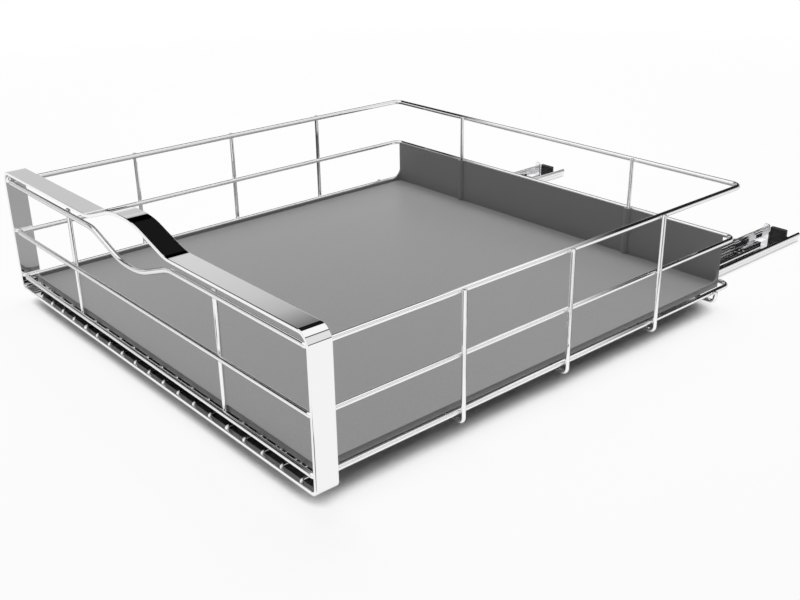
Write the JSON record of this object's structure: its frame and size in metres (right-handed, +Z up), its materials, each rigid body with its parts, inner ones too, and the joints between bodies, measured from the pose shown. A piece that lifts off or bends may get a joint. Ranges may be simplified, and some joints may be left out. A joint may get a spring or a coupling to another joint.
{
  "type": "pull-out cabinet organizer",
  "caption": "Pull-out cabinet basket of chromed wire with a flat arched handle frame and a grey tray, on two flat ball-bearing slides for the cabinet floor.",
  "frame": {"origin": "middle of the bounding box on the cabinet floor, with the basket drawn out as in the picture", "axes": "+X across to the right seen from the front, +Y into the cabinet, away from the handle, +Z up from the cabinet floor"},
  "size_m": [0.51, 0.738, 0.1555],
  "materials": {
    "frame_chrome": "polished",
    "wire_chrome": "polished",
    "tray_grey": "matte",
    "rail_zinc": "satin",
    "cage_steel": "satin",
    "ball_steel": "polished",
    "bumper_black": "matte",
    "screw_zinc": "satin",
    "saddle_zinc": "satin"
  },
  "bodies": {
    "cabinet_rails": {"cabinet_rail_left": "rail_zinc", "cabinet_rail_right": "rail_zinc", "rear_bumper_left": "bumper_black", "rear_bumper_right": "bumper_black"},
    "basket": {"front_frame": "frame_chrome", "top_rim_wire": "wire_chrome", "middle_ring_wire": "wire_chrome", "lower_ring_wire": "wire_chrome", "cross_wire_1": "wire_chrome", "cross_wire_2": "wire_chrome", "cross_wire_3": "wire_chrome", "rear_cross_wire": "wire_chrome", "long_wire_left": "wire_chrome", "long_wire_right": "wire_chrome", "base_wire_01": "wire_chrome", "base_wire_02": "wire_chrome", "base_wire_03": "wire_chrome", "base_wire_04": "wire_chrome", "base_wire_05": "wire_chrome", "base_wire_06": "wire_chrome", "base_wire_07": "wire_chrome", "base_wire_08": "wire_chrome", "base_wire_09": "wire_chrome", "base_wire_10": "wire_chrome", "base_wire_11": "wire_chrome", "base_wire_12": "wire_chrome", "base_wire_13": "wire_chrome", "base_wire_14": "wire_chrome", "base_wire_15": "wire_chrome", "base_wire_16": "wire_chrome", "base_wire_17": "wire_chrome", "tray_liner": "tray_grey", "drawer_rail_left": "rail_zinc", "drawer_rail_right": "rail_zinc", "wire_saddles_left": "saddle_zinc", "wire_saddles_right": "saddle_zinc", "saddle_screws_left": "screw_zinc", "saddle_screws_right": "screw_zinc"},
    "middle_left": {"middle_rail_left": "rail_zinc"},
    "outer_bearing_left": {"outer_cage_left": "cage_steel", "outer_balls_left": "ball_steel"},
    "inner_bearing_left": {"inner_cage_left": "cage_steel", "inner_balls_left": "ball_steel"},
    "middle_right": {"middle_rail_right": "rail_zinc"},
    "outer_bearing_right": {"outer_cage_right": "cage_steel", "outer_balls_right": "ball_steel"},
    "inner_bearing_right": {"inner_cage_right": "cage_steel", "inner_balls_right": "ball_steel"}
  },
  "joints": [
    {"name": "basket_slide", "type": "slide", "parent": "cabinet_rails", "child": "basket", "axis": [0, 1, 0], "range_m": [-0.2, 0.215]},
    {"name": "middle_left_slide", "type": "slide", "parent": "cabinet_rails", "child": "middle_left", "axis": [0, 1, 0], "range_m": [-0.05, 0.05375]},
    {"name": "outer_bearing_left_slide", "type": "slide", "parent": "cabinet_rails", "child": "outer_bearing_left", "axis": [0, 1, 0], "range_m": [-0.025, 0.02687]},
    {"name": "inner_bearing_left_slide", "type": "slide", "parent": "cabinet_rails", "child": "inner_bearing_left", "axis": [0, 1, 0], "range_m": [-0.125, 0.13437]},
    {"name": "middle_right_slide", "type": "slide", "parent": "cabinet_rails", "child": "middle_right", "axis": [0, 1, 0], "range_m": [-0.05, 0.05375]},
    {"name": "outer_bearing_right_slide", "type": "slide", "parent": "cabinet_rails", "child": "outer_bearing_right", "axis": [0, 1, 0], "range_m": [-0.025, 0.02687]},
    {"name": "inner_bearing_right_slide", "type": "slide", "parent": "cabinet_rails", "child": "inner_bearing_right", "axis": [0, 1, 0], "range_m": [-0.125, 0.13437]}
  ],
  "couplings": [
    {"joint": "middle_left_slide", "follows": "basket_slide", "ratio": 0.25},
    {"joint": "outer_bearing_left_slide", "follows": "basket_slide", "ratio": 0.125},
    {"joint": "inner_bearing_left_slide", "follows": "basket_slide", "ratio": 0.625},
    {"joint": "middle_right_slide", "follows": "basket_slide", "ratio": 0.25},
    {"joint": "outer_bearing_right_slide", "follows": "basket_slide", "ratio": 0.125},
    {"joint": "inner_bearing_right_slide", "follows": "basket_slide", "ratio": 0.625}
  ]
}
